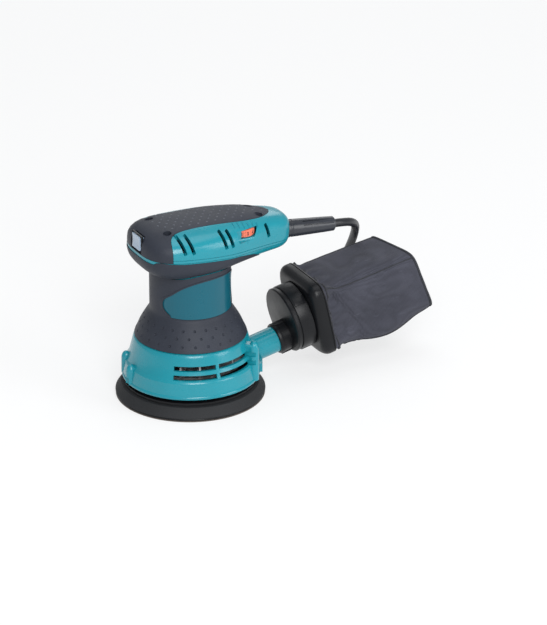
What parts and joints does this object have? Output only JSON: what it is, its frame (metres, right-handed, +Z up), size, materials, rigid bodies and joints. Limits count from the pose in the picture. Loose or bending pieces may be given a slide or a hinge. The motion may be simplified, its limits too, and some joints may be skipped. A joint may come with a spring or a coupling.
{
  "type": "random orbit sander",
  "caption": "Palm-grip random orbit sander with rocker switch, speed dial, eccentric round pad, dust spout, removable cloth bag and mains lead coiled behind.",
  "frame": {"origin": "middle of the abrasive face, on the motor axis, where the sander stands on its work", "axes": "+Z up along the motor axis; +X to the rear, where the cord guard and the dust bag are; the switch faces -X; +Y to the right seen from behind"},
  "size_m": [0.321, 0.2133, 0.1533],
  "materials": {
    "teal_plastic": "glossy moulded glass-filled plastic",
    "dark_rubber": "matte moulded elastomer with small pips",
    "black_plastic": "fine satin moulding",
    "cord_rubber": "satin cord sheath",
    "foam": "fine closed-cell foam",
    "abrasive": "grit on paper",
    "steel": "turned and zinc plated",
    "aluminium": "die cast",
    "copper": "enamelled copper",
    "lamination": "stacked steel sheets",
    "brass": "plain stamped",
    "carbon": "pressed carbon",
    "board": "lacquered board",
    "orange_plastic": "ribbed wheel with dark numbers",
    "pale_switch": "clear boot over a pale rocker",
    "cloth": "fine woven cloth"
  },
  "bodies": {
    "housing": {"motor_housing": "teal_plastic", "top_cover": "teal_plastic", "shroud": "teal_plastic", "neck_grip": "dark_rubber", "top_grip": "dark_rubber", "brake_ring": "dark_rubber", "bearing_sleeve": "dark_rubber", "fan_baffle": "black_plastic", "switch_bezel": "black_plastic", "switch_body": "black_plastic", "capacitor": "black_plastic", "cord_clamp": "black_plastic", "cord_tie": "black_plastic", "cord_guard": "cord_rubber", "cord_lead": "cord_rubber", "cord_coil": "cord_rubber", "cord_tail": "cord_rubber", "plug": "cord_rubber", "lower_bearing": "steel", "upper_bearing": "steel", "housing_screw_1": "steel", "housing_screw_2": "steel", "housing_screw_3": "steel", "cover_screw_1": "steel", "cover_screw_2": "steel", "cover_screw_3": "steel", "cover_screw_4": "steel", "clamp_screw_1": "steel", "clamp_screw_2": "steel", "brush_spring_front": "steel", "brush_spring_rear": "steel", "bearing_bracket": "aluminium", "field_coil_front": "copper", "field_coil_rear": "copper", "stator_core": "lamination", "brush_holder_front": "brass", "brush_holder_rear": "brass", "brush_front": "carbon", "brush_rear": "carbon", "speed_board": "board"},
    "pad": {"pad_plate": "black_plastic", "hook_facing": "black_plastic", "pad_foam": "foam", "abrasive_disc": "abrasive", "pad_screw": "steel", "pad_spindle": "steel", "pad_bearing": "steel"},
    "rotor": {"counterweight": "steel", "rotor_shaft": "steel", "fan": "aluminium", "armature_core": "lamination", "winding_lower": "copper", "winding_upper": "copper", "commutator": "copper"},
    "switch": {"switch_rocker": "pale_switch"},
    "dial": {"speed_dial": "orange_plastic"},
    "nozzle": {"dust_nozzle": "black_plastic"},
    "bag": {"bag_frame": "black_plastic", "dust_bag": "cloth"}
  },
  "joints": [
    {"name": "rotor_spin", "type": "hinge", "parent": "housing", "child": "rotor", "pos_m": [0, 0, 0.05], "axis": [0, 0, 1], "continuous": true},
    {"name": "pad_spin", "type": "hinge", "parent": "rotor", "child": "pad", "pos_m": [0, 0.0014, 0.012], "axis": [0, 0, 1], "continuous": true},
    {"name": "switch_rock", "type": "hinge", "parent": "housing", "child": "switch", "pos_m": [-0.044, 0, 0.142], "axis": [0, 1, 0], "range_deg": [0, 7]},
    {"name": "dial_turn", "type": "hinge", "parent": "housing", "child": "dial", "pos_m": [0.038, -0.0193, 0.143], "axis": [0, 0, 1], "range_deg": [-100, 100]},
    {"name": "nozzle_slide", "type": "slide", "parent": "housing", "child": "nozzle", "axis": [0.9751, 0, 0.2215], "range_m": [0, 0.035]},
    {"name": "bag_turn", "type": "hinge", "parent": "nozzle", "child": "bag", "pos_m": [0.07401, 0, 0.04417], "axis": [0.9751, 0, 0.2215], "range_deg": [0, 25]}
  ]
}
